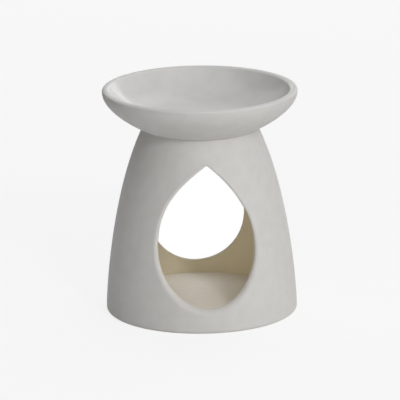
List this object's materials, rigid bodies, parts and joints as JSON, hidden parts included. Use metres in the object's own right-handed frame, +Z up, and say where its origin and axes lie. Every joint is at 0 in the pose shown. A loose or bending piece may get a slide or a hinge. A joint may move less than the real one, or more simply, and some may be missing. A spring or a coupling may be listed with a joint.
{
  "type": "wax warmer",
  "caption": "Bell-shaped ceramic wax warmer with teardrop windows front and back, a floor inside for a tealight, and a shallow round wax dish that lifts off the neck.",
  "frame": {"origin": "under the middle of the foot, on the surface that the warmer stands on", "axes": "+Z up along the axis that the body and the dish are turned about; -Y towards the front window"},
  "size_m": [0.1018, 0.1018, 0.1189],
  "materials": {
    "satin_glaze": "satin",
    "bare_clay": "matte",
    "gloss_glaze": "gloss"
  },
  "bodies": {
    "burner": {"body_shell": "satin_glaze", "chamber_floor": "bare_clay"},
    "dish": {"wax_dish": "gloss_glaze"}
  },
  "joints": [
    {"name": "dish_lift", "type": "slide", "parent": "burner", "child": "dish", "axis": [0, 0, 1], "range_m": [0, 0.06]}
  ]
}
